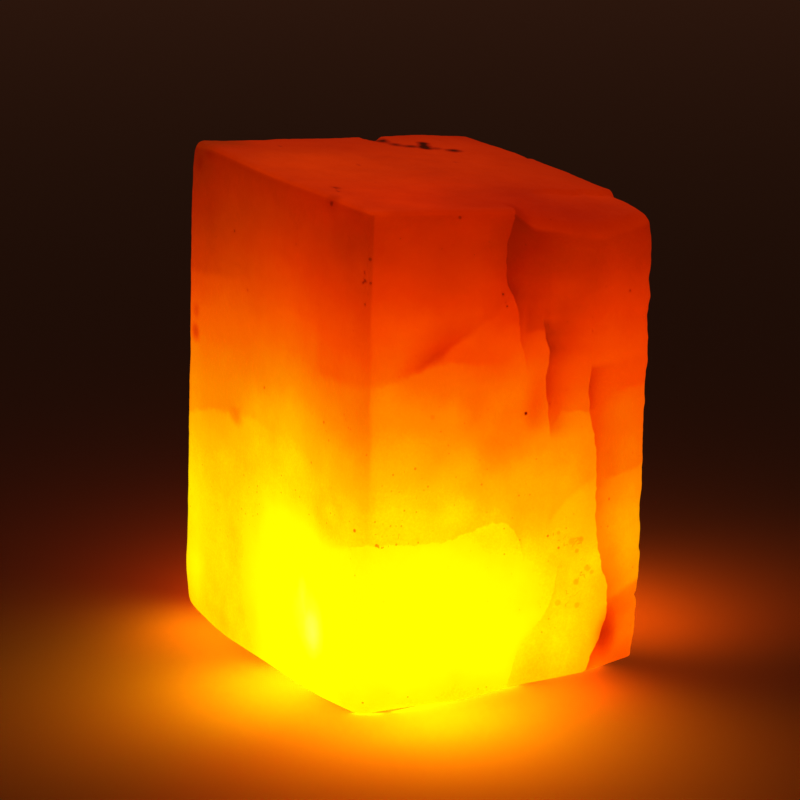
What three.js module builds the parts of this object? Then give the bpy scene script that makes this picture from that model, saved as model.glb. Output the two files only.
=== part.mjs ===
// A rough block of translucent orange mineral, sawn on its foot, top, left and front.
//
// The block is one piece of stone. The right half of its front has split away in three
// upright ledges, each set back behind the one on its left, and beyond the last of them
// the front turns back in a rough bevel. A shallow flake is gone from the top's front
// right corner, the right side is broken and not sawn, and the whole block leans a
// little to the right.
//
// Millimetres, +Z up. The front looks along -Y and the foot stands on z = 0, with the
// middle of the block's outline over the origin.

import * as THREE from 'three';
import { mergeVertices } from 'three/addons/utils/BufferGeometryUtils.js';

// The upright block that the shape starts from
const WIDTH = 84.2;
const DEPTH = 91;
const HEIGHT = 120;
const HALF = new THREE.Vector3(WIDTH / 2, DEPTH / 2, HEIGHT / 2);

// How far each corner of the top lies from the same corner of the upright block
const TOP_SHIFT = {
  frontLeft: new THREE.Vector3(5.1, -0.6, 4.0),
  frontRight: new THREE.Vector3(4.6, 0.7, -5.2),
  backLeft: new THREE.Vector3(4.8, 0.1, 4.3),
  backRight: new THREE.Vector3(3.3, 0.8, -3.4),
};

// Rounding of the edges, and the places where they are more worn or sharper than that.
// A spot's extra radius fades to nothing at its reach.
const EDGE_RADIUS = 2.2;
const WORN_SPOTS = [
  { at: [-HALF.x, -HALF.y, 60], reach: [14, 14, 70], extra: -1.0 },
  { at: [-HALF.x, HALF.y, 60], reach: [14, 14, 70], extra: 1.0 },
  { at: [0, 0, 0], reach: [400, 400, 12], extra: 0.8 },
  { at: [-HALF.x, HALF.y, 0], reach: [20, 20, 24], extra: 3 },
  { at: [-HALF.x, -HALF.y, 0], reach: [24, 24, 14], extra: 3.4 },
  { at: [HALF.x, -HALF.y, HEIGHT], reach: [16, 16, 16], extra: 2.5 },
];

// The right front edge is ragged: how far it is broken in, as [height, depth]
const RAGGED_EDGE = [
  [112, 0], [106, 0], [101, 0.3], [97, 0.1], [90.5, 0.6], [85, 0.1], [79, 0], [74, 0.5], [60, 0.1],
  [50, 0.5], [46, 0], [41, 0.4], [34, 0], [24, 0], [19, 0.4], [8, 0.5],
];
const RAGGED_REACH = 22;

// Ledges of the front, from left to right. The line gives the ledge's edge from the top
// down as [height, across], and the step gives its depth as [height, depth]. To the right
// of a ledge the surface comes forward again over its recovery. Mesh line `held` runs
// down the ledge's edge, and the next one down the foot of its wall.
const FRONT_LEDGES = [
  {
    held: 12,
    line: [[120, -2], [112, -3.8], [106, -3.6], [100, -1.7], [92, 0.6], [83, 3], [0, 3.5]],
    step: [[120, 5.5], [110, 4], [100, 2.6], [90, 1.4], [82, 0]],
    recovery: 24,
  },
  {
    held: 15,
    line: [[120, 8.5], [92, 7.7], [85, 9.2], [79, 8.6], [72, 9.9], [65, 10.8], [0, 12]],
    step: [[94, 0], [87, 1.7], [78, 1.7], [70, 1.1], [64, 0]],
    recovery: 13,
  },
  {
    held: 19,
    line: [
      [120, 23], [78, 22.2], [72, 21.7], [65, 23.6], [52, 24], [43, 24.6],
      [31, 26.2], [25, 28.4], [15, 29.1], [9, 26], [0, 23.8],
    ],
    step: [[80, 0], [72, 1.1], [58, 1.2], [40, 1], [25, 1.4], [12, 1.8], [5, 0.6], [0, 0.2]],
    recovery: 40,
  },
];

// Ledges of the broken right side, from front to back, in the same way
const SIDE_LEDGES = [
  {
    held: 9,
    line: [[120, -10], [98, -8], [84, -12], [66, -9], [44, -13], [24, -7], [0, -9]],
    step: [[108, 0], [92, 1.3], [62, 2.1], [34, 1.5], [16, 0.4], [8, 0]],
    recovery: 22,
  },
  {
    held: 15,
    line: [[120, 13], [96, 17], [76, 14], [52, 18], [30, 23], [0, 20]],
    step: [[120, 1.4], [84, 2.2], [56, 1.2], [40, 0]],
    recovery: 26,
  },
];
const LEDGE_WALL = 0.3;
const LEDGE_REACH = 34;

// Beyond the last ledge the front turns back by this slope
const BEVEL_SLOPE = Math.tan(THREE.MathUtils.degToRad(16));

// The flake off the top's front right: its back edge as [across, front to back], the
// step down at that edge as [across, depth], and the extra fall from there to the front
const FLAKE_EDGE = [
  [-3, -46], [-1, -43.5], [4, -36.2], [11, -28.5], [17, -23.1], [22, -22.3], [27, -25], [HALF.x, -22],
];
const FLAKE_LIP = [[0, 0.8], [20, 1.2], [HALF.x, 2.6]];
const FLAKE_FALL = [[0, 4.2], [24, 4.2], [HALF.x, 0.8]];
const FLAKE_LEFT = -2;
const FLAKE_REACH = 30;

// Chipped corners: each is cut off by the plane through three points on the edges
const CHIPS = [
  [[-HALF.x, HALF.y, 111], [-HALF.x, 31, HEIGHT], [2 - HALF.x, HALF.y, HEIGHT]],
];

// Shells broken out of the right side, the back and their edges: where, how wide, how deep
const SHELLS = [
  { at: [HALF.x, -20, 34], reach: [12, 20, 24], depth: [-1.6, 0, 0] },
  { at: [HALF.x, 36, 26], reach: [12, 20, 24], depth: [-2.4, 0, 0] },
  { at: [HALF.x, HALF.y, 78], reach: [11, 9, 17], depth: [-2.2, -1.6, 0] },
  { at: [-12, HALF.y, 44], reach: [26, 12, 20], depth: [0, -1.3, 0] },
  { at: [18, HALF.y, 92], reach: [17, 12, 15], depth: [0, -1.2, 0] },
];

// Mesh lines: three close to every edge for the rounding, the rest evenly spread
const COLUMNS = 26;
const ROWS_BACK = 22;
const LAYERS = 30;
const EDGE_LINES = [0, 0.9, 2.4, 5];

// Straight-line reading of a list of [at, value] pairs, held level past its ends.
// The list may run up or down.
function read(pairs, at) {
  const rising = pairs[0][0] < pairs[pairs.length - 1][0];
  const list = rising ? pairs : [...pairs].reverse();
  const next = list.findIndex((pair) => pair[0] >= at);
  if (next === 0) {
    return list[0][1];
  }
  if (next < 0) {
    return list[list.length - 1][1];
  }
  const [low, high] = [list[next - 1], list[next]];
  return THREE.MathUtils.mapLinear(at, low[0], high[0], low[1], high[1]);
}

// Place of mesh line `index` of `count` along a side of the given half length
function evenLine(index, count, half) {
  const edge = EDGE_LINES.length - 1;
  if (index <= edge) {
    return -half + EDGE_LINES[index];
  }
  if (index >= count - edge) {
    return half - EDGE_LINES[count - index];
  }
  const inner = half - EDGE_LINES[edge];
  return THREE.MathUtils.mapLinear(index, edge, count - edge, -inner, inner);
}

// Place of an upright mesh line on a side with ledges, where each ledge holds two lines
// of its own: one on its edge, and one at the foot of its wall
function ledgeLine(ledges, index, count, half, height) {
  const edge = EDGE_LINES.length - 1;
  if (index <= edge || index >= count - edge) {
    return evenLine(index, count, half);
  }
  const places = [[edge, evenLine(edge, count, half)]];
  for (const { held, line } of ledges) {
    const place = read(line, height);
    places.push([held, place], [held + 1, place + LEDGE_WALL]);
  }
  places.push([count - edge, evenLine(count - edge, count, half)]);
  return read(places, index);
}

// Worn edges: near an edge, a point is pulled onto a rounding of the radius there
function rounded(point) {
  let radius = EDGE_RADIUS;
  for (const { at, reach, extra } of WORN_SPOTS) {
    const away = Math.hypot(...point.toArray().map((value, i) => (value - at[i]) / reach[i]));
    radius += extra * (1 - THREE.MathUtils.smoothstep(away, 0, 1));
  }
  const inset = new THREE.Vector3().setScalar(radius);
  const low = new THREE.Vector3(-HALF.x, -HALF.y, 0).add(inset);
  const high = new THREE.Vector3(HALF.x, HALF.y, HEIGHT).sub(inset);
  const centre = point.clone().clamp(low, high);
  return point.clone().sub(centre).setLength(radius).add(centre);
}

function chipped(point) {
  const result = point.clone();
  for (const corners of CHIPS) {
    const plane = new THREE.Plane().setFromCoplanarPoints(
      ...corners.map((corner) => new THREE.Vector3(...corner)),
    );
    const middle = new THREE.Vector3(0, 0, HALF.z);
    const side = -Math.sign(plane.distanceToPoint(middle));
    const beyond = plane.distanceToPoint(result) * side;
    if (beyond > 0) {
      result.addScaledVector(plane.normal, -beyond * side);
    }
  }
  return result;
}

// How far the ledges of a side set it back at a place on it
function setBack(ledges, along, height) {
  let depth = 0;
  for (const { line, step, recovery } of ledges) {
    const past = along - read(line, height);
    const wall = THREE.MathUtils.clamp(past / LEDGE_WALL, 0, 1);
    const left = 1 - THREE.MathUtils.clamp(past / recovery, 0, 1);
    depth += read(step, height) * wall * left;
  }
  return depth;
}

// How far the front turns back beyond its last ledge
function bevel(across, height) {
  const start = read(FRONT_LEDGES[FRONT_LEDGES.length - 1].line, height);
  return Math.max(0, across - start) * BEVEL_SLOPE;
}

// Share of a side's breaks that a point takes, by its distance in from that side
function nearness(distance, reach) {
  return 1 - THREE.MathUtils.smoothstep(distance, 0, reach);
}

// How far the flake has lowered the top at a place on it
function flakeFall(across, back) {
  const edge = read(FLAKE_EDGE, across);
  const past = edge - back;
  const lip = read(FLAKE_LIP, across) * THREE.MathUtils.clamp(past, 0, 1);
  const inside = THREE.MathUtils.clamp(past / (edge + HALF.y), 0, 1);
  const fall = read(FLAKE_FALL, across) * inside * inside;
  return (lip + fall) * THREE.MathUtils.smoothstep(across, FLAKE_LEFT, FLAKE_LEFT + 8);
}

function broken(point) {
  const { x, y, z } = point;
  const result = point.clone();
  const fromFront = HALF.y + y;
  const fromRight = HALF.x - x;
  const front = setBack(FRONT_LEDGES, x, z) + bevel(x, z);
  result.y += front * nearness(fromFront, LEDGE_REACH);
  result.x -= setBack(SIDE_LEDGES, y, z) * nearness(fromRight, LEDGE_REACH);
  result.x -= read(RAGGED_EDGE, z) * nearness(Math.hypot(fromFront, fromRight), RAGGED_REACH);
  result.z -= flakeFall(x, y) * nearness(HEIGHT - z, FLAKE_REACH);
  for (const { at, reach, depth } of SHELLS) {
    const away = Math.hypot(...point.toArray().map((value, i) => (value - at[i]) / reach[i]));
    result.addScaledVector(new THREE.Vector3(...depth), Math.max(0, 1 - away * away));
  }
  return result;
}

// Slow unevenness of the sides, none of it on the foot. The broken right side is the
// roughest, least so at its ragged front edge.
function uneven(point) {
  const { x, y, z } = point;
  const fromEdge = y / DEPTH + 0.5;
  const right = fromEdge * (0.25 * Math.sin(z / 4.1 + y / 11) + 0.3 * Math.sin(z / 9.7 - y / 6.3));
  const left = 0.12 * Math.sin(z / 14 + y / 17);
  const front = 0.15 * Math.sin(x / 13 + z / 21 + 2);
  const back = 0.3 * Math.sin(x / 11 - z / 16);
  const top = 0.25 * Math.sin(x / 14 + y / 10 + 1);
  return new THREE.Vector3(
    x + (x > 0 ? right : left) * (x / HALF.x),
    y + (y > 0 ? back : front) * (y / HALF.y),
    z + top * (z / HEIGHT),
  );
}

// Leaning and taper: the shifts of the eight corners are spread over the block
function leaning(point) {
  const right = point.x / WIDTH + 0.5;
  const back = point.y / DEPTH + 0.5;
  const up = point.z / HEIGHT;
  const spread = (shift) =>
    new THREE.Vector3()
      .addScaledVector(shift.frontLeft, (1 - right) * (1 - back))
      .addScaledVector(shift.frontRight, right * (1 - back))
      .addScaledVector(shift.backLeft, (1 - right) * back)
      .addScaledVector(shift.backRight, right * back);
  return point
    .clone()
    .addScaledVector(spread(TOP_SHIFT), up);
}

// Where one point of the plain gridded box belongs on the stone
function onStone(column, row, layer) {
  const height = evenLine(layer, LAYERS, HALF.z) + HALF.z;
  const evenAcross = evenLine(column, COLUMNS, HALF.x);
  const evenBack = evenLine(row, ROWS_BACK, HALF.y);
  const ledgeAcross = ledgeLine(FRONT_LEDGES, column, COLUMNS, HALF.x, height);
  const ledgeBack = ledgeLine(SIDE_LEDGES, row, ROWS_BACK, HALF.y, height);
  const nearFront = nearness(HALF.y + evenBack, LEDGE_REACH);
  const nearRight = nearness(HALF.x - evenAcross, LEDGE_REACH);
  const point = new THREE.Vector3(
    THREE.MathUtils.lerp(evenAcross, ledgeAcross, nearFront),
    THREE.MathUtils.lerp(evenBack, ledgeBack, nearRight),
    height,
  );
  return leaning(uneven(broken(chipped(rounded(point)))));
}

function stoneGeometry() {
  const box = new THREE.BoxGeometry(COLUMNS, ROWS_BACK, LAYERS, COLUMNS, ROWS_BACK, LAYERS);
  box.deleteAttribute('normal');
  box.deleteAttribute('uv');
  const geometry = mergeVertices(box);
  const places = geometry.attributes.position;
  for (let i = 0; i < places.count; i++) {
    const column = Math.round(places.getX(i) + COLUMNS / 2);
    const row = Math.round(places.getY(i) + ROWS_BACK / 2);
    const layer = Math.round(places.getZ(i) + LAYERS / 2);
    places.setXYZ(i, ...onStone(column, row, layer).toArray());
  }
  geometry.computeBoundingBox();
  const middle = geometry.boundingBox.getCenter(new THREE.Vector3());
  geometry.translate(-middle.x, -middle.y, 0);
  geometry.computeVertexNormals();
  return geometry;
}

const stone = new THREE.Mesh(
  stoneGeometry(),
  new THREE.MeshStandardMaterial({
    color: '#e2641a',
    roughness: 0.6,
    metalness: 0,
    emissive: '#ff5a00',
    emissiveIntensity: 0.8,
  }),
);
stone.name = 'stone_block';

const block = new THREE.Group();
block.add(stone);

export default block;
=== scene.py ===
"""A rough block of translucent orange mineral on a pale floor, with a painted glow from its foot."""
import math

import bpy
import numpy as np
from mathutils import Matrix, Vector, noise


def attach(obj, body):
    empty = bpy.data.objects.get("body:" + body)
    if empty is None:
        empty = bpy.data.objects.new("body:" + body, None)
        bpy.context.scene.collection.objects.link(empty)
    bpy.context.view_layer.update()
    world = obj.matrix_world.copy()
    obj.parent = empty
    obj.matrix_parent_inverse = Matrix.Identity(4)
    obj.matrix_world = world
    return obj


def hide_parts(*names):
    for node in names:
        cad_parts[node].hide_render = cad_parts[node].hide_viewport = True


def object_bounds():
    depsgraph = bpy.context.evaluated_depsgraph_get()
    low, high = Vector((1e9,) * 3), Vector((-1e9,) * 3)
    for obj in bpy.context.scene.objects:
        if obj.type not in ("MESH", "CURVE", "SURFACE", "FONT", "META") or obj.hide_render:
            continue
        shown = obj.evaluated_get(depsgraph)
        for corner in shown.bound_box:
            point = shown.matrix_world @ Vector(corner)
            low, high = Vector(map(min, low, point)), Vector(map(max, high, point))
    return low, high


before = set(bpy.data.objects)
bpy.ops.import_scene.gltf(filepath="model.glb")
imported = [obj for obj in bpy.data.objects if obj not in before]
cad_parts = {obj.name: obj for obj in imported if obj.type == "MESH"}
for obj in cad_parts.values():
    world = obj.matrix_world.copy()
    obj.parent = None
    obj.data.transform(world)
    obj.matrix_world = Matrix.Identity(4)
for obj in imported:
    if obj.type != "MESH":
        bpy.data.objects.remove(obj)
cad_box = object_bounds()

# --------------------------------------------------------------------------------------
# The stone
#
# One block of milky orange mineral, such as rock salt, sawn from a lump on its foot, top,
# front, left and back, and split along its right side. It has no parts. Its glow is painted
# light, set as emission on its surface, standing for a lamp under its foot whose light the
# stone scatters, with painted shade where cracks and clouds inside would shade it.
# --------------------------------------------------------------------------------------
MM = 0.001

# Sizes, in millimetres: the upright block that the shape starts from, and how far the
# corners of its top lean away from it
WIDTH, DEPTH, HEIGHT = 84.2, 91.0, 120.0
HALF_X, HALF_Y = WIDTH / 2, DEPTH / 2
TOP_SHIFT = {
    (0, 0): (5.1, -0.6, 4.0),
    (1, 0): (4.3, 0.7, -5.0),
    (0, 1): (5.1, 0.1, 4.3),
    (1, 1): (3.3, 0.8, -3.4),
}

# Rounding of the edges, and where they are more worn or sharper: place, reach, extra
EDGE_RADIUS = 2.2
WORN_SPOTS = [
    ((-HALF_X, -HALF_Y, 112), (14, 14, 50), -1.0),
    ((-HALF_X, -HALF_Y, 40), (14, 14, 56), 1.6),
    ((-HALF_X, HALF_Y, 60), (14, 14, 70), 1.2),
    ((-HALF_X, HALF_Y, 14), (14, 14, 22), 0.3),
    ((0, 0, 0), (400, 400, 12), 0.8),
    ((-HALF_X, HALF_Y, 0), (22, 26, 15), 4.2),
    ((-HALF_X, -HALF_Y, 0), (32, 24, 14), 3.4),
    ((-12, -HALF_Y, 0), (16, 8, 8), -1.2),
    ((6, -HALF_Y, 0), (14, 8, 8), 0.8),
    ((HALF_X, -HALF_Y, 0), (22, 22, 20), -1.9),
    ((-HALF_X, HALF_Y, HEIGHT), (18, 18, 18), 1.0),
    ((HALF_X, HALF_Y, HEIGHT), (20, 20, 16), 4.7),
    ((HALF_X, -HALF_Y, HEIGHT), (16, 16, 16), 1.6),
    ((24, -HALF_Y, HEIGHT), (22, 12, 12), 2.6),
]

# The ragged right front edge: how far it is broken in, as (height, depth)
RAGGED_EDGE = [
    (112, 0), (106, 0.1), (101, 0.6), (96.5, -0.4), (90.5, 0.5), (85, -0.2), (79, -0.4), (74, -0.1),
    (69, 0), (63, -0.1), (58.5, 0.3), (53, -0.1), (47, -0.3), (41, 0.2), (34, -0.2), (24, -0.1),
    (19, 0.3), (15, 0.3), (8, 0.9), (3, 1.4),
]
RAGGED_REACH = 22

# Ledges where slices have split off. The line is the ledge's edge as (height, across),
# the step its depth as (height, depth), and the surface comes forward again beyond it.
FRONT_LEDGES = [
    {
        "line": [
            (120, -2), (116, -3.3), (112, -4.3), (108, -4.7), (104.5, -4.4), (102, -4),
            (100.5, -3.2), (99, -1.8), (96, -0.7), (93.4, -0.1), (91, 0), (87.6, 0.6),
            (84.7, 1.5), (82, 2.4), (0, 3),
        ],
        "step": [(120, 5.5), (110, 4), (100, 2.6), (90, 1.4), (82, 0)],
        "recovery": 24,
    },
    {
        "line": [
            (120, 7.7), (93, 7.2), (89, 8), (85.4, 8.8), (82.5, 8.8), (79.3, 8.1),
            (75.5, 8.3), (72.5, 9), (69.2, 9.5), (65, 9.9), (0, 11),
        ],
        "step": [(94, 0), (87, 1.7), (78, 1.7), (70, 1.1), (64, 0)],
        "recovery": 13,
    },
    {
        "line": [
            (120, 21.8), (78.4, 20.9), (75.6, 20.5), (70, 21.3), (67, 21.7), (64.7, 22.2),
            (61.3, 23.3), (56.6, 23.9), (47, 24.1), (41, 24.4), (33.5, 25.4), (27, 27.3),
            (23, 28.7), (15.4, 29.2), (12, 28.2), (9, 26.8), (5, 25), (1, 24), (0, 23.8),
        ],
        "step": [
            (80, 0), (72, 1.1), (58, 1.2), (40, 1), (25, 1.4), (12, 1.8), (5, 0.6), (0, 0.2),
        ],
        "recovery": 40,
    },
]
SIDE_LEDGES = [
    {
        "line": [(120, -10), (98, -8), (84, -12), (66, -9), (44, -13), (24, -7), (0, -9)],
        "step": [(108, 0), (92, 1.3), (62, 2.1), (34, 1.5), (16, 0.4), (8, 0)],
        "recovery": 22,
    },
    {
        "line": [(120, 13), (96, 17), (76, 14), (52, 18), (30, 23), (0, 20)],
        "step": [(120, 1.4), (84, 2.2), (56, 1.2), (40, 0)],
        "recovery": 26,
    },
]
LEDGE_WALL = 0.3
LEDGE_REACH = 34
LEDGE_JAG = 0.36
JAG_LENGTH = 3.1
BEVEL_SLOPE = math.tan(math.radians(16))

# The flake off the top's front right: its back edge, the step down there, and the fall
FLAKE_EDGE = [
    (-3, -46), (-1, -43.5), (4, -36.2), (11, -28.5), (17, -23.1), (22, -22.3), (27, -25),
    (HALF_X, -22),
]
FLAKE_LIP = [(2, 0), (12, 0.3), (20, 0.9), (HALF_X, 1.6)]
FLAKE_FALL = [(0, 4.2), (24, 4.2), (HALF_X, 1.2)]
FLAKE_LEFT, FLAKE_START, FLAKE_REACH = -2, 8, 30

# A corner cut off by the plane through three points, and shells broken out of the right
# side, the back and the edges, the smallest last: where, how wide, how deep
CHIPPED_CORNER = [(-HALF_X, HALF_Y, 111), (-HALF_X, 31, HEIGHT), (2 - HALF_X, HALF_Y, HEIGHT)]
SHELLS = [
    ((HALF_X, -20, 34), (12, 20, 24), (-1.6, 0, 0)),
    ((HALF_X, 36, 26), (12, 20, 24), (-2.4, 0, 0)),
    ((HALF_X, HALF_Y, 78), (11, 9, 17), (-2.2, -1.6, 0)),
    ((-12, HALF_Y, 44), (26, 12, 20), (0, -1.3, 0)),
    ((18, HALF_Y, 92), (17, 12, 15), (0, -1.2, 0)),
    ((HALF_X, -22, HEIGHT), (12, 21, 10), (0, 0, -0.9)),
    ((HALF_X, 15, HEIGHT), (10, 12, 8), (0, 0, 0.2)),
    ((HALF_X, 32, HEIGHT), (12, 11, 8), (0, 0, -0.45)),
    ((-32, HALF_Y, HEIGHT), (14, 12, 8), (0, 0, -0.5)),
    ((9.8, HALF_Y, HEIGHT), (3.4, 7, 5), (0, -0.6, -1.3)),
    ((-HALF_X, HALF_Y, 22), (8, 14, 23), (0.5, 0, 0)),
    ((18.6, 31.6, HEIGHT), (2, 3.4, 3), (0, 0, -0.5)),
    ((HALF_X, -HALF_Y, 17), (3, 3, 1.6), (-0.7, 0.4, 0)),
]

# How far in from the right side and from the front the roughness of a fresh break goes
SIDE_BREAK, FRONT_BREAK = 8, 12

# The grid that the surface is laid on: lines close together at the block's edges, for
# their rounding, and evenly spread between them
COLUMNS, ROWS, LAYERS = 108, 114, 146
EDGE_LINES = (0, 0.3, 0.7, 1.2, 1.9, 2.8, 4.0)


def read(pairs, at):
    """Straight-line reading of a list of (at, value) pairs, held level past its ends."""
    places, values = zip(*sorted(pairs))
    return np.interp(at, places, values)


def smooth(value, low, high):
    """0 below low, 1 above high, and a smooth rise between them."""
    share = np.clip((value - low) / (high - low), 0, 1)
    return share * share * (3 - 2 * share)


def nearness(distance, reach):
    """1 at no distance, and smoothly down to 0 at the reach."""
    return 1 - smooth(distance, 0, reach)


def away(points, at, reach):
    """Distance of each point from a place, in reaches."""
    return np.linalg.norm((points - at) / reach, axis=1)


def cloudy(points, size, octaves=2):
    """Soft noise of each point, about -1 to 1, with lumps of the given size."""
    return np.array([noise.fractal(Vector(p) / size, 0.9, 2.1, octaves) for p in points])


def even_lines(count, half):
    """Places of the grid's lines across a side of the given half length."""
    edge = np.array(EDGE_LINES) - half
    inner = np.linspace(edge[-1], -edge[-1], count + 3 - 2 * len(edge))
    return np.concatenate([edge, inner[1:-1], -edge[::-1]])


def ledge_lines(even, ledges, heights):
    """Places of the grid's lines at each height, with four of them drawn to each ledge:
    one each side of its edge, and one each side of the foot of its wall."""
    rows = []
    edge, last = len(EDGE_LINES), len(even) - 1
    middles = [np.mean([across for _, across in ledge["line"]]) for ledge in ledges]
    held = [np.abs(even - middle).argmin() for middle in middles]
    for height in heights:
        known = {line: even[line] for line in (0, edge - 1, last - edge + 1, last)}
        for line, ledge in zip(held, ledges):
            place = ledge_edge(ledge, height)
            for step, offset in enumerate((-LEDGE_WALL, 0, LEDGE_WALL, 2 * LEDGE_WALL)):
                known[line - 1 + step] = place + offset
        numbers = sorted(known)
        row = np.interp(np.arange(len(even)), numbers, [known[n] for n in numbers])
        row[:edge], row[-edge:] = even[:edge], even[-edge:]
        rows.append(row)
    return np.array(rows)


def ledge_edge(ledge, height):
    """Where the ledge's edge runs at a height: its line, with the small jags of a break."""
    jag = np.vectorize(lambda h: noise.fractal(Vector((h / JAG_LENGTH, 0.3, 7.7)), 0.5, 2.2, 3))
    return read(ledge["line"], height) + LEDGE_JAG * jag(height)


def shell_grid():
    """Points on the shell of the gridded box, as whole numbers (column, row, layer), and
    its square faces, which look outwards."""
    def corner(column, row, layer):
        return column + (COLUMNS + 1) * (row + (ROWS + 1) * layer)

    def squares(first, second, corner_of):
        u, v = (g.ravel() for g in np.meshgrid(np.arange(first), np.arange(second)))
        ring = ((u, v), (u + 1, v), (u + 1, v + 1), (u, v + 1))
        return np.stack([corner_of(*pair) for pair in ring], axis=1)

    faces = np.concatenate([
        squares(ROWS, COLUMNS, lambda u, v: corner(v, u, 0)),
        squares(COLUMNS, ROWS, lambda u, v: corner(u, v, LAYERS)),
        squares(COLUMNS, LAYERS, lambda u, v: corner(u, 0, v)),
        squares(LAYERS, COLUMNS, lambda u, v: corner(v, ROWS, u)),
        squares(LAYERS, ROWS, lambda u, v: corner(0, v, u)),
        squares(ROWS, LAYERS, lambda u, v: corner(COLUMNS, u, v)),
    ])
    numbers, faces = np.unique(faces, return_inverse=True)
    columns = numbers % (COLUMNS + 1)
    rows = numbers // (COLUMNS + 1) % (ROWS + 1)
    layers = numbers // ((COLUMNS + 1) * (ROWS + 1))
    return columns, rows, layers, faces.reshape(-1, 4)


def plain_block(columns, rows, layers):
    """The grid's points on the sharp-edged block, with its lines drawn to the ledges."""
    even_x, even_y = even_lines(COLUMNS, HALF_X), even_lines(ROWS, HALF_Y)
    even_z = even_lines(LAYERS, HEIGHT / 2) + HEIGHT / 2
    ledge_x = ledge_lines(even_x, FRONT_LEDGES, even_z)[layers, columns]
    ledge_y = ledge_lines(even_y, SIDE_LEDGES, even_z)[layers, rows]
    x, y = even_x[columns], even_y[rows]
    near_front, near_right = nearness(HALF_Y + y, LEDGE_REACH), nearness(HALF_X - x, LEDGE_REACH)
    x, y = x + (ledge_x - x) * near_front, y + (ledge_y - y) * near_right
    return np.stack([x, y, even_z[layers]], axis=1)


def rounded(points):
    """Worn edges: near an edge a point is pulled onto a rounding. Also gives the way out."""
    radius = np.full((len(points), 1), EDGE_RADIUS)
    for at, reach, extra in WORN_SPOTS:
        radius[:, 0] += extra * nearness(away(points, at, reach), 1)
    low, high = np.array([-HALF_X, -HALF_Y, 0]), np.array([HALF_X, HALF_Y, HEIGHT])
    centre = np.clip(points, low + radius, high - radius)
    outward = points - centre
    outward /= np.linalg.norm(outward, axis=1, keepdims=True)
    return centre + outward * radius, outward


def chipped(points):
    """One corner cut off flat."""
    a, b, c = (np.array(corner, float) for corner in CHIPPED_CORNER)
    normal = np.cross(b - a, c - a)
    normal /= np.linalg.norm(normal)
    normal *= np.sign((a - (0, 0, HEIGHT / 2)) @ normal)
    beyond = np.maximum((points - a) @ normal, 0)
    return points - beyond[:, None] * normal


def set_back(ledges, along, height):
    """How far the ledges of a side set it back at each place on it."""
    depth = 0
    for ledge in ledges:
        past = along - ledge_edge(ledge, height)
        wall = np.clip(past / LEDGE_WALL, 0, 1)
        depth += read(ledge["step"], height) * wall * (1 - np.clip(past / ledge["recovery"], 0, 1))
    return depth


def flake_fall(across, back):
    """How far the flake has lowered the top at each place on it."""
    edge = read(FLAKE_EDGE, across)
    past = edge - back
    inside = np.clip(past / (edge + HALF_Y), 0, 1)
    fall = read(FLAKE_LIP, across) * np.clip(past, 0, 1) + read(FLAKE_FALL, across) * inside**2
    return fall * smooth(across, FLAKE_LEFT, FLAKE_LEFT + FLAKE_START)


def broken(points):
    """The ledges, the bevel beyond them, the ragged edge, the flake and the shells."""
    x, y, z = points.T
    result = points.copy()
    from_front, from_right = HALF_Y + y, HALF_X - x
    bevel = np.maximum(0, x - read(FRONT_LEDGES[-1]["line"], z)) * BEVEL_SLOPE
    result[:, 1] += (set_back(FRONT_LEDGES, x, z) + bevel) * nearness(from_front, LEDGE_REACH)
    result[:, 0] -= set_back(SIDE_LEDGES, y, z) * nearness(from_right, LEDGE_REACH)
    ragged = nearness(np.hypot(from_front, from_right), RAGGED_REACH)
    result[:, 0] -= read(RAGGED_EDGE, z) * ragged
    result[:, 2] -= flake_fall(x, y) * nearness(HEIGHT - z, FLAKE_REACH)
    for at, reach, depth in SHELLS:
        share = np.maximum(0, 1 - away(points, at, reach) ** 2)
        result += share[:, None] * depth
    return result


def uneven(points):
    """Slow swells of the sides, with heights and lengths in millimetres: none of them on
    the foot, and most on the broken side."""
    x, y, z = points.T
    right = (y / DEPTH + 0.5) * (0.25 * np.sin(z / 4.1 + y / 11) + 0.3 * np.sin(z / 9.7 - y / 6.3))
    left = 0.12 * np.sin(z / 14 + y / 17)
    front = 0.15 * np.sin(x / 13 + z / 21 + 2)
    back = 0.3 * np.sin(x / 11 - z / 16)
    top = 0.25 * np.sin(x / 14 + y / 10 + 1)
    return np.stack([
        x + np.where(x > 0, right, left) * x / HALF_X,
        y + np.where(y > 0, back, front) * y / HALF_Y,
        z + top * z / HEIGHT,
    ], axis=1)


def broken_share(points):
    """1 where the surface is a fresh break, 0 where it is sawn."""
    x, y, z = points.T
    near_front = nearness(HALF_Y + y, FRONT_BREAK)
    right = nearness(HALF_X - x, SIDE_BREAK) * smooth(HEIGHT - z, 1, 6)
    strip = smooth(x - read(FRONT_LEDGES[-1]["line"], z), -0.5, 1) * near_front
    slices = (set_back(FRONT_LEDGES, x, z) > 0.3) * near_front * 0.5
    return np.clip(np.maximum(right, np.maximum(strip, slices)), 0, 1)


def roughened(points, outward, block):
    """Fine roughness, none of it on the foot: a low grain on sawn sides, lumps on breaks."""
    sawn = 0.06 * cloudy(points, 1.9) + 0.12 * cloudy(points + 40, 9)
    split = 0.30 * cloudy(points, 5.5) + 0.15 * cloudy(points + 17, 2.2)
    height = (sawn + (split - sawn) * broken_share(block)) * smooth(block[:, 2], 0, 1.5)
    return points + height[:, None] * outward


def leaning(points):
    """Leaning and taper: the shifts of the top's corners are spread over the block."""
    right, back, up = points[:, 0] / WIDTH + 0.5, points[:, 1] / DEPTH + 0.5, points[:, 2] / HEIGHT
    result = points.copy()
    for (at_right, at_back), shift in TOP_SHIFT.items():
        share = (right if at_right else 1 - right) * (back if at_back else 1 - back)
        result += (share * up)[:, None] * shift
    return result


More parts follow.
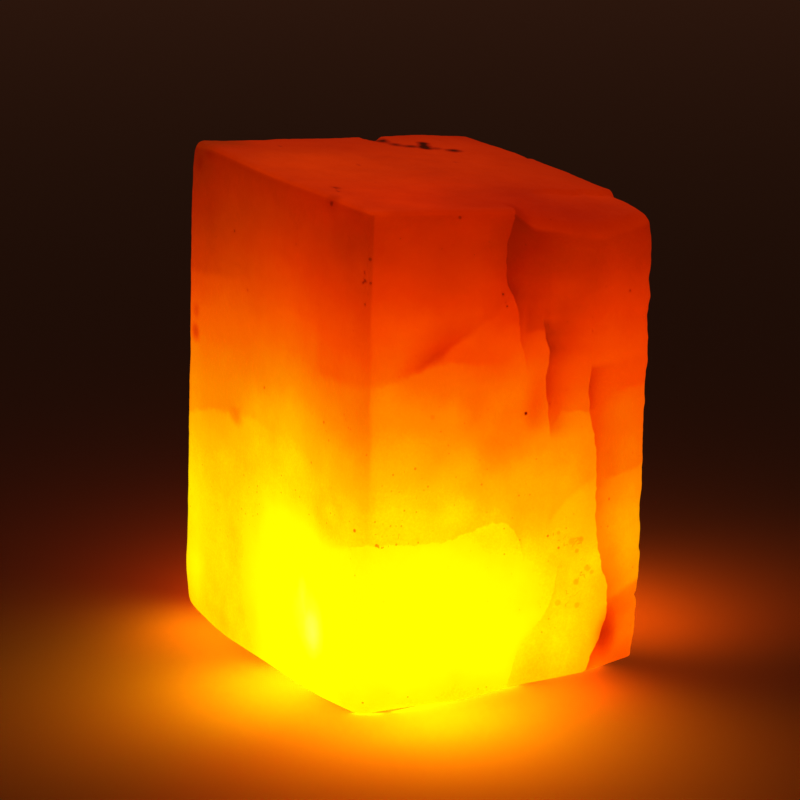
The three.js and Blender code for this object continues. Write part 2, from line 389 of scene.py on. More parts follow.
columns, rows, layers, faces = shell_grid()
block = plain_block(columns, rows, layers)
worn, outward = rounded(block)
upright = broken(chipped(worn))
shape = leaning(roughened(uneven(upright), outward, block))
shape[:, :2] -= (shape.min(0) + shape.max(0))[:2] / 2
shape = np.clip(shape * MM, cad_box[0], cad_box[1])

mesh = bpy.data.meshes.new("stone")
mesh.from_pydata(shape.tolist(), [], faces.tolist())
mesh.shade_smooth()
mesh.set_sharp_from_angle(angle=math.radians(40))
stone = bpy.data.objects.new("stone", mesh)
bpy.context.scene.collection.objects.link(stone)

# The painted glow, in octaves of brightness, 0 where the yellow is full: light painted into
# the stone's emission, as if from a lamp inside. It falls off with the distance from the
# glow's centre, faster upwards. Each cloud paints light onto it or shade into it, on one
# side of the block or on all.
GLOW_CENTRE = np.array([-25.6, -14.9, 23.0])
GLOW_CENTRE_STRETCH = np.array([1, 1, 1.63])
FULL_GLOW_REACH = 39.4
FALL_PER_MM = 0.054
level_out = outward[:, :2] / np.maximum(np.linalg.norm(outward[:, :2], axis=1), 0.1)[:, None]
on_top = smooth(outward[:, 2], 0.3, 0.6)
on_front = smooth(-level_out[:, 1], 0.93, 0.995) * (1 - on_top)
on_left = smooth(-level_out[:, 0], 0.05, 0.3) * (1 - on_front) * (1 - on_top)
SIDES = {"all": 1, "left": on_left, "front": on_front, "top": on_top}
PAINTED_GLOW_CLOUDS = [
    ("top", (0, 0, 120), (400, 400, 400), 0.6),
    ("top", (-26, 14, 120), (30, 34, 14), 0.45),
    ("top", (24, 22, 120), (40, 40, 14), 0.45),
    ("top", (6, -38, 120), (36, 34, 14), -0.85),
    ("left", (-42, -46, 100), (20, 24, 40), -0.35),
    ("left", (-42, -14, 102), (10, 16, 22), -0.12),
    ("left", (-42, -32, 112), (10, 14, 10), -0.25),
    ("left", (-42, 38, 104), (10, 18, 16), -0.35),
    ("left", (-42, -24, 98), (10, 20, 18), -0.35),
    ("left", (-42, -44, 52), (12, 12, 26), 0.15),
    ("left", (-42, -24, 116), (12, 28, 12), 0.05),
    ("left", (-42, -42, 109), (8, 8, 8), 0.15),
    ("left", (-42, 45.5, 104), (6, 4, 44), -0.4),
    ("left", (-42, 39.5, 114.5), (5, 4, 3.5), -0.5),
    ("left", (-42, 35, 118), (5, 5, 2.6), -0.4),
    ("all", (-42, -27, 119), (3, 4.5, 4), -0.6),
    ("all", (-41, -45, 119.5), (10, 6, 3), 0.4),
    ("all", (-41, -30, 119.5), (6, 14, 4), 0.25),
    ("all", (-8, -45, 119.5), (12, 5, 3), 0.25),
    ("all", (3, -44, 116), (6, 5, 5), -0.35),
    ("left", (-42, -42, 80), (12, 12, 10), 0.35),
    ("left", (-42, -10, 122), (20, 80, 10), -0.2),
    ("left", (-42, 12, 24), (16, 22, 38), -0.75),
    ("left", (-42, 2, 24), (10, 9, 24), -0.25),
    ("left", (-42, 12, 52), (12, 12, 9), 0.2),
    ("left", (-42, 26, 0), (10, 34, 14), 0.4),
    ("left", (-42, 38, 12), (10, 9, 12), 0.6),
    ("left", (-42, -29, 44), (10, 12, 12), -0.4),
    ("left", (-42, -31, 46.5), (8, 6, 5), 0.25),
    ("left", (-42, -44, 46), (12, 10, 12), 0.1),
    ("left", (-42, 24, 3), (10, 13, 8), -0.3),
    ("left", (-42, 17, 28), (10, 9, 16), -0.2),
    ("left", (-42, 46, 34), (16, 20, 50), 0.9),
    ("left", (-42, -14, 44), (10, 30, 12), -0.4),
    ("left", (-42, -10, 68), (12, 18, 20), 0.4),
    ("left", (-42, 8, 61), (10, 16, 12), 0.4),
    ("left", (-42, 41, 66), (14, 14, 24), 0.4),
    ("left", (-42, 46.5, 50), (8, 5, 56), -0.6),
    ("left", (-42, 47, 24), (8, 5, 24), -0.5),
    ("left", (-42, 6, 8), (10, 14, 14), -0.25),
    ("left", (-42, 20, 47), (10, 8, 8), 0.15),
    ("left", (-42, 4, 78), (10, 8, 14), 0.12),
    ("front", (-36, -46, 70), (18, 12, 22), 0.5),
    ("front", (-30, -46, 90), (18, 12, 10), 0.35),
    ("front", (-36, -46, 118), (14, 12, 10), 0.35),
    ("front", (-38, -46, 78), (8, 10, 8), 0.35),
    ("front", (-16, -46, 94), (10, 12, 10), 0.5),
    ("front", (-8, -46, 82), (12, 10, 8), -0.35),
    ("front", (-24, -46, 94), (10, 12, 9), 0.35),
    ("front", (-12, -46, 72), (8, 10, 7), -0.45),
    ("front", (-15.5, -46, 48.5), (8, 10, 7), 0.45),
    ("front", (-6, -46, 45), (9, 10, 6), 0.2),
    ("front", (-14, -46, 118), (34, 12, 12), 0.2),
    ("all", (2, -41, 118), (5, 6, 5), -0.6),
    ("front", (-34, -46, 50), (16, 12, 18), 0.4),
    ("front", (6, -46, 6), (26, 14, 18), 0.55),
    ("front", (0, -38, 116), (20, 22, 24), -0.4),
    ("front", (2, -46, 104), (16, 12, 22), -0.85),
    ("front", (18, -46, 97), (12, 12, 10), -0.35),
    ("front", (-14, -46, 93), (20, 12, 10), -0.2),
    ("front", (13, -46, 93), (8, 8, 9), -0.6),
    ("front", (-2, -46, 66), (14, 10, 12), -0.42),
    ("front", (-21.5, -46, 54), (7, 10, 5), 0.22),
    ("front", (30, -46, 41), (6, 10, 6), 0.2),
    ("front", (26, -46, 31), (5, 10, 6), 0.2),
    ("front", (8, -46, 74), (8, 8, 11), -0.6),
    ("front", (18, -46, 68), (9, 10, 12), 0.2),
    ("front", (18, -46, 58), (12, 10, 22), 0.35),
    ("front", (6, -46, 46), (10, 12, 14), -0.35),
    ("front", (14, -46, 34), (12, 10, 10), -0.15),
    ("front", (7, -46, 6), (10, 12, 10), -0.45),
    ("front", (5, -46, 77), (5, 8, 8), -0.2),
    ("front", (30, -46, 116), (14, 14, 8), 0.15),
    ("front", (10, -46, 113), (12, 10, 8), -0.22),
    ("front", (18, -46, 106), (12, 12, 9), -0.4),
    ("top", (22, -38, 117), (24, 14, 12), -0.45),
    ("top", (11, -25, 120), (12, 12, 8), -0.3),
    ("front", (-15, -46, 58), (8, 10, 8), 0.3),
    ("front", (-6, -46, 62), (7, 10, 8), -0.25),
    ("front", (5.2, -46, 70.5), (4, 8, 8), -0.6),
    ("front", (24, -45, 26), (12, 16, 26), 0.25),
    ("all", (38, -32, 30), (12, 20, 26), 0.8),
    ("all", (35, -34, 52), (12, 20, 34), 0.45),
    ("all", (32, -42, 68), (9, 14, 8), 0.3),
    ("all", (30, -46, 8), (7, 12, 10), -1.3),
    ("all", (38, -44, 0), (12, 14, 9), -1.2),
    ("left", (-42, -24, 15), (10, 13, 16), 0.9),
    ("left", (-42, -25, 15.5), (8, 8, 10), 0.75),
    ("left", (-42, -19, 24.5), (8, 3, 9), 0.5),
    ("left", (-42, 17.6, 57.6), (4, 5, 3.2), -0.8),
    ("left", (-42, 40, 78.4), (4, 2.6, 2.8), -0.8),
    ("left", (-42, 40.2, 73.2), (4, 3.2, 3.2), -1.6),
    ("all", (30, -42, 10), (5.6, 8, 9), -1.15),
    ("front", (-16.5, -46, 72), (8, 8, 5), 0.25),
    ("all", (-35.4, -17.6, 120), (1.6, 2.4, 3), -1.4),
    ("all", (10.1, 41, 119.8), (3, 6.5, 5), -6.5),
    ("all", (11.6, 34, 120), (2.6, 3, 2), -3.2),
    ("all", (14.6, 31.4, 120), (3.4, 2.8, 2), -3.6),
    ("all", (17.4, 28.8, 120), (2.4, 3, 3), -6),
    ("all", (18.8, 31.6, 120), (2.2, 3, 3), -7),
    ("all", (20.2, 34.4, 120), (2.2, 2.6, 3), -5),
    ("all", (20, 28, 120), (2.6, 2.4, 2), -1.6),
    ("all", (23.8, 25.2, 120), (3.2, 2.8, 2), -4.4),
]

# Where the red of the painted glow falls off more slowly than the green, in octaves, or
# faster, below zero
REDDER = [
    ("front", (0, -46, 60), (400, 400, 400), 0.2),
    ("left", (-42, 22, 86), (20, 54, 52), -0.75),
    ("left", (-42, -27, 118), (20, 34, 8), 0.4),
    ("all", (-38, 42, 118), (14, 14, 14), -1.2),
    ("front", (-10, -46, 120), (36, 12, 10), 0.25),
    ("front", (0, -46, 102), (14, 12, 18), 0.35),
    ("front", (-20, -46, 88), (8, 10, 4), 0.3),
    ("top", (0, -40, 120), (70, 46, 20), 0.45),
    ("top", (-30, 20, 120), (40, 40, 20), -0.2),
]


def painted_clouds(clouds):
    """The sum of some clouds of painted light and shade, in octaves, at each point."""
    total = np.zeros(len(upright))
    for side, at, reach, octaves in clouds:
        total += octaves * nearness(away(upright, at, reach), 1) * SIDES[side]
    return total


# The painted glow: its fall from the glow's centre, plus the clouds of painted light and shade
from_glow_centre = np.linalg.norm((upright - GLOW_CENTRE) * GLOW_CENTRE_STRETCH, axis=1)
painted_glow = FALL_PER_MM * (FULL_GLOW_REACH - from_glow_centre) + painted_clouds(PAINTED_GLOW_CLOUDS)

# Painted shade of cracks inside: the painted glow drops on the side of each away from the
# glow's centre and comes back with the distance. A veil runs around the left and the front:
# its line is (around, height), where around is the way from the front left edge, to the right
# along the front or, below zero, to the back along the left side. A crease is the painted
# shadow of a front ledge.
around = (upright[:, 0] + HALF_X) - (upright[:, 1] + HALF_Y)
VEILS = [
    {
        "line": [
            (-30, 79), (-22, 78.4), (-18.7, 77.8), (-11.5, 78.6), (-4.5, 79.8), (2.6, 80.3),
            (5.8, 80.5), (9.5, 81.2), (12.2, 82.2), (14.9, 83), (18.1, 84.2), (20.2, 85),
            (22.8, 87.2), (25.5, 88.8), (28.2, 90.4), (32.2, 93.2), (36.2, 96), (39.3, 98.4),
        ],
        "dark": [
            (-24, 0), (-21.5, 0.5), (-12, 0.6), (-3, 0.45), (4, 0.35), (8, 0.4), (12, 0.7),
            (16, 1.1), (20, 1.6), (24, 1.2), (30, 0.4), (38, 0.2), (42, 0),
        ],
        "fade": 8,
        "soft": 1.3,
    },
    {
        "line": [
            (8, 80), (12, 82.1), (15, 82.5), (17.6, 83.3), (20.3, 84), (23, 84.1), (29, 83.2),
            (36, 83), (42, 82.5),
        ],
        "dark": [(10, 0), (16, 0.6), (24, 0.6), (31, 0.45), (38, 0.15), (42, 0)],
        "fade": 14,
        "soft": 0.9,
    },
    {
        "line": [
            (-15, 38.5), (-6.5, 41), (0.5, 42.5), (6, 42.1), (11.6, 41.8), (18.5, 40.9),
            (22.6, 40.9), (26.7, 41.8), (31, 42.5), (35, 43.7), (39.2, 43.9), (42.7, 41.9),
            (44.6, 38.7), (46, 33), (60, 30),
        ],
        "dark": [(-16, 0), (-8, 0.25), (0, 0.35), (36, 0.4), (44, 0.3), (47, 0)],
        "fade": 14,
        "soft": 0.35,
    },
    {
        "line": [(-88, 88), (-81, 88.4), (-70, 90.5), (-57, 92), (-50, 92)],
        "dark": [(-90, 0.4), (-72, 0.4), (-60, 0.15), (-54, 0)],
        "fade": 10,
        "soft": 1.2,
    },
    {
        "line": [(-88, 52.5), (-77, 55.8), (-63, 58.6), (-53, 59.3), (-42, 59), (-35, 59)],
        "dark": [(-90, 0.45), (-64, 0.45), (-48, 0.25), (-36, 0)],
        "fade": 10,
        "soft": 1.0,
    },
    {
        "line": [(43, 90.3), (46, 90.2), (51, 90.5)],
        "dark": [(43, 0), (44, 0.6), (49.5, 0.6), (50.5, 0)],
        "fade": 7,
        "soft": 0.5,
    },
    {
        "line": [(51.6, 65.5), (53.2, 68), (54.8, 69.9), (59, 69.8), (63.2, 69.2)],
        "dark": [(52, 0), (53, 0.4), (63, 0.6), (64.5, 0)],
        "fade": 6,
        "soft": 0.5,
    },
    {
        "line": [(66, 71.8), (68, 72.3), (73, 73), (79, 73.4)],
        "dark": [(69, 0), (72, 0.4), (84, 0.4)],
        "fade": 10,
        "soft": 0.8,
    },
    {
        "line": [(66, 50.5), (73, 51.2), (80, 52.4)],
        "dark": [(67, 0), (69, 0.4), (84, 0.5)],
        "fade": 14,
        "soft": 0.8,
    },
    {
        "line": [
            (52, 39.5), (52.6, 41.5), (54, 43.4), (55.9, 45.4), (60.3, 49), (65.1, 52), (68, 53.5),
        ],
        "dark": [(52, 0), (54, 0.35), (64, 0.35), (66.5, 0)],
        "fade": 9,
        "soft": 1.2,
    },
]
# Two more near the foot paint shade on what lies below their lines
FOOT_VEILS = [
    {
        "line": [(66, 15), (72, 18.5), (77, 21), (80, 22), (86, 24)],
        "dark": [(68, 0), (72, 0.6), (86, 1.0)],
        "fade": 30,
        "soft": 1.0,
    },
    {
        "line": [
            (42, 0), (43.2, 3.1), (44.5, 9), (46.1, 12.9), (49, 15), (51.6, 17.2), (54, 20.5),
            (55.4, 24.3), (56, 31),
        ],
        "dark": [(42, 0.1), (44, 0.3), (54, 0.35), (56, 0.2), (60, 0)],
        "fade": 24,
        "soft": 0.9,
    },
]
CREASES = [
    {
        "ledge": 0,
        "dark": [
            (120, 1.7), (116, 2.1), (109, 2), (104, 1.6), (100, 2.1), (97, 1.5), (90, 1.0),
            (84, 0.5), (80, 0),
        ],
        "fade": 4.6,
    },
    {
        "ledge": 1,
        "dark": [
            (93.5, 0), (92, 0.8), (89.5, 2.2), (86, 2.9), (82, 2.1), (79, 2.5), (75, 2.3), (70, 1.6),
            (66, 1), (63, 0),
        ],
        "fade": 5,
    },
    {
        "ledge": 2,
        "dark": [
            (81.5, 0), (80, 1.2), (76, 1.8), (62, 1.8), (38, 1.3), (26, 1.7), (20, 2), (14, 3),
            (6, 3), (0, 2),
        ],
        "fade": 7,
    },
]
# Each crack's painted shade: how far each point lies past its line, and how dark it is there
crack_shades = []
for number, veil in enumerate(VEILS + FOOT_VEILS):
    past = upright[:, 2] - read(veil["line"], around)
    past = -past if veil in FOOT_VEILS else past
    dark = read(veil["dark"], around) * (outward[:, 2] < 0.9)
    crack_shades.append(dict(veil, name=f"veil_{number}", past=past, dark=dark))
for number, crease in enumerate(CREASES):
    past = block[:, 0] - ledge_edge(FRONT_LEDGES[crease["ledge"]], block[:, 2])
    dark = read(crease["dark"], block[:, 2]) * nearness(HALF_Y + block[:, 1], 14) * (1 - on_top)
    crack_shades.append(dict(crease, name=f"crease_{number}", past=past, dark=dark, soft=0.25))

# Specks: grains and pits that stop the light, drawn as painted shade in the glow, as place,
# radius and octaves. Each point of the mesh holds the way from its nearest speck to it, in radii.
SPECKS = [
    (-42.1, -27.2, 118.1, 0.6, 2), (-36, -18.2, 120, 0.35, 1.8), (-37.4, -22, 120, 0.35, 1.8),
    (-14.6, 7.8, 120, 0.35, 1.2), (-23.2, 32.5, 120, 0.4, 1.2), (15, 10, 120, 0.4, 1),
    (-42.1, 20.3, 102.3, 0.35, 1.8), (-42.1, 12.9, 89.7, 0.35, 1.2), (-42.1, -6.2, 95.3, 0.25, 1),
    (-42.1, -11, 105.7, 0.3, 1), (-41.7, -45.1, 109.4, 0.4, 2), (-42.1, -43.4, 106.1, 0.35, 1.6),
    (-42.1, -42.7, 103.5, 0.35, 1.5), (-42.1, -43.8, 104.2, 0.4, 2), (-41.5, -45.3, 104, 0.35, 1.6),
    (-42.1, -44, 98.9, 0.35, 2.2), (-42.1, -36.5, 71.5, 0.25, 1), (-42.1, -26.7, 67.2, 0.35, 1.6),
    (-42.1, -38.6, 69, 0.25, 1), (-42.1, -39.8, 69, 0.25, 0.9), (-42.1, -29.4, 63.6, 0.3, 1),
    (-42.1, 3.4, 68.3, 0.35, 2), (-42.1, -21.5, 56.3, 0.3, 1), (-42.1, 12.7, 44.3, 0.3, 0.7),
    (-42.1, -43, 46, 0.45, 2), (-18, -45.5, 118.3, 0.4, 2), (2.6, -42, 111, 0.35, 2),
    (4.1, -42, 109.7, 0.3, 1.4), (-5.2, -45.5, 99.9, 0.35, 3), (-3.9, -45.5, 96.9, 0.3, 2.5),
    (21.4, -44, 95.8, 0.3, 1.4), (33.7, -42, 98.5, 0.4, 1.4), (22.1, -44, 77.5, 0.5, 1.6),
    (2.8, -45.5, 70.3, 0.4, 6), (29.5, -43, 69.4, 0.35, 2), (29.8, -43, 45, 0.35, 1.4),
    (29.6, -43, 37.9, 0.35, 1), (-27.5, -45.5, 59.7, 0.35, 1.2), (-33.5, -45.5, 58.9, 0.3, 1),
    (-23.8, -45.5, 55, 0.3, 0.9), (-8.8, -45.5, 53.8, 0.3, 0.9), (1.9, -45.5, 49.9, 0.25, 1),
    (5, -45.5, 49.8, 0.25, 0.8), (-23.2, -45.5, 71.5, 0.6, 0.4), (-30.1, -45.5, 50, 0.25, 1),
    (-30.8, -45.5, 46.4, 0.25, 0.8), (-33.8, -45.5, 46.8, 0.25, 0.7), (-38, -45.5, 48.3, 0.25, 0.8),
    (-37.4, -45.5, 42.6, 0.4, 1.4), (-35.9, -45.5, 41.8, 0.3, 1), (-32, -45.5, 42.1, 0.3, 0.9),
    (-26, -45.5, 41.8, 0.25, 0.8), (10.7, -45.5, 38.6, 0.35, 1.6), (14, -45.5, 35.1, 0.35, 1.4),
    (13.8, -45.5, 39, 0.5, 0.5), (17.7, -45.5, 36.3, 0.9, 0.45), (20.3, -45.5, 36.5, 0.8, 0.7),
    (19.3, -45.5, 33.6, 0.6, 0.6), (22.5, -45.5, 28.7, 0.8, 0.35), (24, -45.5, 27.4, 0.6, 0.4),
    (19.5, -45.5, 25.5, 0.8, 0.5), (14.5, -45.5, 20.8, 0.9, 0.35), (20.1, -45.5, 19.3, 0.8, 0.35),
    (-39, -44.6, 4.6, 0.3, 1.6),
]
specks = np.array(SPECKS)
nearest = np.array([np.linalg.norm(specks[:, :3] - at, axis=1).argmin() for at in upright])
from_speck = (upright - specks[nearest, :3]) / specks[nearest, 3:4]
from_speck[:, 1] /= 1 + 1.5 * on_top

# The painted glow, its red shift and the specks' painted shade, kept on the mesh's points
for name, numbers in (
    ("painted_glow", painted_glow), ("redder", painted_clouds(REDDER)), ("speck_dark", specks[nearest, 4]),
):
    values = mesh.attributes.new(name, "FLOAT", "POINT")
    values.data.foreach_set("value", numbers.astype(np.float32))
values = mesh.attributes.new("from_speck", "FLOAT_VECTOR", "POINT")
values.data.foreach_set("vector", from_speck.astype(np.float32).ravel())
for crack in crack_shades:
    values = mesh.attributes.new(crack["name"], "FLOAT_VECTOR", "POINT")
    packed = np.stack([crack["past"], crack["dark"], np.zeros(len(painted_glow))], axis=1)
    values.data.foreach_set("vector", packed.astype(np.float32).ravel())


# Material: milky orange mineral, sawn and broken, satin. What comes to the eye is mostly
# painted light, set as emission: red where the stone is thick, then orange, and yellow near
# the glow's centre, where the lamp would sit.
def linear(colour, alpha=1.0):
    """An sRGB hex colour as linear red, green, blue and alpha."""
    parts = [int(colour[i:i + 2], 16) / 255 for i in (1, 3, 5)]
    return [c / 12.92 if c <= 0.04045 else ((c + 0.055) / 1.055) ** 2.4 for c in parts] + [alpha]


def node(tree, kind, *inputs, **named):
    """Adds a node. Its settings are named in lower case, and its inputs with a capital or
    given in order. An input is a value or the output that feeds it."""
    made = tree.nodes.new("ShaderNode" + kind)
    for name in [name for name in named if name.islower()]:
        setattr(made, name, named.pop(name))
    for name, value in [*enumerate(inputs), *named.items()]:
        socket = made.inputs[name.replace("_", " ") if name in named else name]
        if isinstance(value, bpy.types.NodeSocket):
            tree.links.new(value, socket)
        else:
            socket.default_value = value
    return made


# Colours of the painted glow by level, red to yellow, paling at the top for a painted hot spot
PAINTED_GLOW_COLOURS = {
    -10: "#300500", -8: "#831300", -7: "#931600", -6: "#af2200", -5: "#d73100", -4: "#f04700",
    -3: "#f76300", -2: "#fd8900", -1: "#febb00", 0: "#ffff00", 1.3: "#ffff00", 1.9: "#ffff1a",
    2.4: "#ffff44", 3: "#ffff78",
}
mineral = bpy.data.materials.new("milky_orange_mineral")
mineral.use_nodes = True
tree = mineral.node_tree
shader = tree.nodes["Principled BSDF"]
place = node(tree, "TexCoord").outputs["Object"]
millimetres = node(tree, "VectorMath", place, Scale=1 / MM, operation="SCALE").outputs[0]


def lumps(size, detail):
    """Noise about zero, with lumps of a size in millimetres."""
    made = node(tree, "TexNoise", millimetres, Scale=1 / size, Detail=detail)
    return node(tree, "Math", made.outputs["Fac"], 0.5, operation="SUBTRACT").outputs[0]


# Lumps of painted light and shade in the glow: size in millimetres, detail, and octaves
LUMPS = [(18, 3, 0.6), (5, 4, 0.3), (1, 2, 0.2), (0.45, 1, 0.3)]
level = node(tree, "Attribute", attribute_name="painted_glow").outputs["Fac"]
for size, detail, octaves in LUMPS:
    level = node(tree, "Math", lumps(size, detail), octaves, level, operation="MULTIPLY_ADD").outputs[0]

# The painted shade of each crack: full just past it, then fading. A veil's line wobbles.
VEIL_WOBBLE = 2.4
wobble = lumps(2.6, 3)
for crack in crack_shades:
    packed = node(tree, "Attribute", attribute_name=crack["name"]).outputs["Vector"]
    past, dark, _ = node(tree, "SeparateXYZ", packed).outputs
    if crack["name"].startswith("veil"):
        past = node(tree, "Math", wobble, VEIL_WOBBLE, past, operation="MULTIPLY_ADD").outputs[0]
    edge = node(tree, "MapRange", Value=past, From_Min=-crack["soft"], From_Max=crack["soft"],
                interpolation_type="SMOOTHSTEP").outputs[0]
    inside = node(tree, "Math", past, 0, operation="MAXIMUM").outputs[0]
    fades = node(tree, "Math", inside, -crack["fade"], operation="DIVIDE").outputs[0]
    fading = node(tree, "Math", fades, operation="EXPONENT").outputs[0]
    share = node(tree, "Math", fading, edge, operation="MULTIPLY").outputs[0]
    shade = node(tree, "Math", share, dark, operation="MULTIPLY").outputs[0]
    level = node(tree, "Math", level, shade, operation="SUBTRACT").outputs[0]

# The specks, as painted shade in the glow: dark within half their radius, and gone at 1.3 radii
speck = node(tree, "Attribute", attribute_name="from_speck").outputs["Vector"]
speck = node(tree, "VectorMath", speck, operation="LENGTH").outputs["Value"]
speck = node(tree, "MapRange", Value=speck, From_Min=1.3, From_Max=0.5,
             interpolation_type="SMOOTHSTEP").outputs[0]
speck_dark = node(tree, "Attribute", attribute_name="speck_dark").outputs["Fac"]
shade = node(tree, "Math", speck, speck_dark, operation="MULTIPLY").outputs[0]
level = node(tree, "Math", level, shade, operation="SUBTRACT").outputs[0]

# Dust in the mineral, drawn as painted shade in the glow: tiny specks about 2 mm apart, most
# of them faint
dust = node(tree, "TexVoronoi", millimetres, Scale=0.45)
dot = node(tree, "MapRange", Value=dust.outputs["Distance"], From_Min=0.14, From_Max=0.06,
           interpolation_type="SMOOTHSTEP").outputs[0]
faint = node(tree, "SeparateColor", dust.outputs["Color"]).outputs[0]
faint = node(tree, "Math", faint, 3, operation="POWER").outputs[0]
shade = node(tree, "Math", dot, faint, operation="MULTIPLY").outputs[0]
level = node(tree, "Math", level, shade, operation="SUBTRACT").outputs[0]


def painted_glow_colour(level):
    """The red, green and blue of the painted glow at a level, along the ramp of its colours."""
    darkest, brightest = min(PAINTED_GLOW_COLOURS), max(PAINTED_GLOW_COLOURS)
    share = node(tree, "Math", level, darkest, operation="SUBTRACT").outputs[0]
    share = node(tree, "Math", share, brightest - darkest, operation="DIVIDE").outputs[0]
    ramp = node(tree, "ValToRGB", share)
    while len(ramp.color_ramp.elements) < len(PAINTED_GLOW_COLOURS):
        ramp.color_ramp.elements.new(0.5)
    for element, (octaves, colour) in zip(ramp.color_ramp.elements, sorted(PAINTED_GLOW_COLOURS.items())):
        element.position = (octaves - darkest) / (brightest - darkest)
        element.color = linear(colour)
    return node(tree, "SeparateColor", ramp.outputs["Color"]).outputs


redder = node(tree, "Attribute", attribute_name="redder").outputs["Fac"]
red = painted_glow_colour(node(tree, "Math", level, redder, operation="ADD").outputs[0])[0]
green, blue = painted_glow_colour(level)[1:]
colour = node(tree, "CombineColor", red, green, blue).outputs[0]
# The painted glow is the surface's emission
tree.links.new(colour, shader.inputs["Emission Color"])
shader.inputs["Emission Strength"].default_value = 1.0

# The mineral itself: mottled, satin, with a fine grain
PALE, DEEP = "#cc6c33", "#b4551f"
GRAIN_SIZE, GRAIN_DEPTH = 0.9, 0.15
mottle = node(tree, "Math", lumps(9, 4), 0.5, operation="ADD").outputs[0]
tint = node(tree, "ValToRGB", mottle)
for element, position, colour in zip(tint.color_ramp.elements, (0.3, 0.7), (DEEP, PALE)):
    element.position, element.color = position, linear(colour)
tree.links.new(tint.outputs["Color"], shader.inputs["Base Color"])
shader.inputs["IOR"].default_value = 1.54
satin = node(tree, "Math", lumps(3, 3), 0.3, 0.55, operation="MULTIPLY_ADD").outputs[0]
tree.links.new(satin, shader.inputs["Roughness"])
grain = node(tree, "Math", lumps(GRAIN_SIZE, 3), 0, operation="ADD").outputs[0]
grain = node(tree, "Bump", Height=grain, Distance=GRAIN_DEPTH * MM, Strength=0.6)
tree.links.new(grain.outputs["Normal"], shader.inputs["Normal"])
mesh.materials.append(mineral)

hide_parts("stone_block")
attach(stone, "root")

# --------------------------------------------------------------------------------------
# The floor: plain, pale and matt
# --------------------------------------------------------------------------------------
FLOOR_SIDE = 6.0
FLOOR_GAP = 0.1 * MM
bpy.ops.mesh.primitive_plane_add(size=FLOOR_SIDE, location=(0, 0, -FLOOR_GAP))
floor = bpy.context.object
floor.name = "floor"
paper = bpy.data.materials.new("pale_matt_paper")
paper.use_nodes = True
paper.node_tree.nodes["Principled BSDF"].inputs["Base Color"].default_value = linear("#cfc8c0")
paper.node_tree.nodes["Principled BSDF"].inputs["Roughness"].default_value = 0.9
floor.data.materials.append(paper)

# --------------------------------------------------------------------------------------
# The light: a dim and even studio, and the lamp's light on the floor
# --------------------------------------------------------------------------------------
STUDIO_STRENGTH = 0.003
SOFTBOX_SIZE, SOFTBOX_WATTS = (2, 1), 0.78
SOFTBOX_PLACE, SOFTBOX_AIM = Vector((0.85, 1.3, 0.9)), Vector((0.7, 0.95, 0))
world = bpy.data.worlds.new("dim_studio")
world.use_nodes = True
world.node_tree.nodes["Background"].inputs["Color"].default_value = linear("#ffab84")
world.node_tree.nodes["Background"].inputs["Strength"].default_value = STUDIO_STRENGTH
bpy.context.scene.world = world

softbox = bpy.data.lights.new("softbox", "AREA")
softbox.shape, (softbox.size, softbox.size_y) = "RECTANGLE", SOFTBOX_SIZE
softbox.energy = SOFTBOX_WATTS
softbox.color = linear("#ffa27a")[:3]
box = bpy.data.objects.new("softbox", softbox)
box.location = SOFTBOX_PLACE
box.rotation_euler = (SOFTBOX_AIM - SOFTBOX_PLACE).to_track_quat("-Z", "Y").to_euler()
bpy.context.scene.collection.objects.link(box)

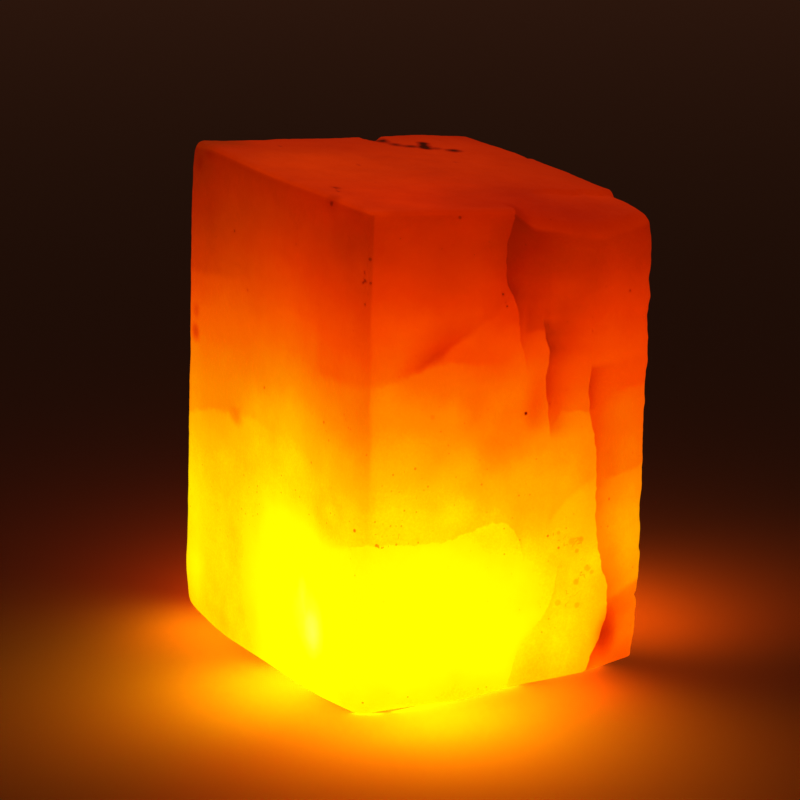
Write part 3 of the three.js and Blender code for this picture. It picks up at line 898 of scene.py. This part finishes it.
# The lamp's light goes through the stone, which throws no shadow of its own in it. It
# leaves as if from panels just inside the foot, which stand in for the stone's own glow on
# the floor: place, the way each faces, its tilt and beam, width, height, and radiance in
# red and in green.
FRONT, LEFT, RIGHT, BACK, CORNER = (0, -1), (-1, 0), (1, 0), (0, 1), (-1, -1.7)
LEVEL, DOWN = (0, 180), (-1.1, 130)
PANELS = [
    ((-28, -42.5, 48), FRONT, DOWN, 24, 10, 40, 1),
    ((-24, -42.5, 24), FRONT, DOWN, 30, 10, 10, 8),
    ((-14, -42.5, 1.6), FRONT, LEVEL, 36, 3, 10, 3),
    ((8, -42.5, 16), FRONT, DOWN, 20, 10, 12, 1),
    ((20, -40, 1.6), FRONT, LEVEL, 16, 3, 14, 1.5),
    ((-37, -40.5, 1), CORNER, LEVEL, 8, 1.6, 8, 4.5),
    ((-40, -32, 48), LEFT, DOWN, 20, 10, 20, 0),
    ((-40, -20, 22), LEFT, DOWN, 40, 10, 6, 4.5),
    ((-40, -12, 11.2), LEFT, LEVEL, 20, 22, 20, 2),
    ((-38, 28, 16), LEFT, DOWN, 30, 10, 8, 1.5),
    ((37, -8, 30), RIGHT, DOWN, 50, 10, 9, 0.8),
    ((0, 41, 17.2), BACK, LEVEL, 76, 34, 4, 0.2),
]
stone.visible_diffuse = False
stone.visible_shadow = False
for number, (middle, facing, (tilt, beam), width, height, red, green) in enumerate(PANELS):
    light = bpy.data.lights.new(f"panel_{number}", "AREA")
    light.shape, light.size, light.size_y = "RECTANGLE", width * MM, height * MM
    light.energy = red * math.pi * light.size * light.size_y
    light.spread = math.radians(beam)
    light.color = (1, green / red, 0)
    panel = bpy.data.objects.new(f"panel_{number}", light)
    panel.location = Vector(middle) * MM
    panel.rotation_euler = Vector((*facing, tilt)).to_track_quat("-Z", "Y").to_euler()
    panel.visible_camera = panel.visible_glossy = False
    bpy.context.scene.collection.objects.link(panel)

# --------------------------------------------------------------------------------------
# The camera: from the front left and a little above, with a long lens
# --------------------------------------------------------------------------------------
CAMERA_PLACE = Vector((-419.45, -719.72, 306.67)) * MM
CAMERA_TURN, CAMERA_DOWN = math.radians(29.95), math.radians(16.362)
CAMERA_LENS = 157.1
camera = bpy.data.cameras.new("camera")
camera.lens, camera.sensor_width = CAMERA_LENS, 36
eye = bpy.data.objects.new("camera", camera)
eye.location = CAMERA_PLACE
eye.rotation_euler = (math.pi / 2 - CAMERA_DOWN, 0, -CAMERA_TURN)
bpy.context.scene.collection.objects.link(eye)
bpy.context.scene.camera = eye
bpy.context.scene.view_settings.view_transform = "Standard"
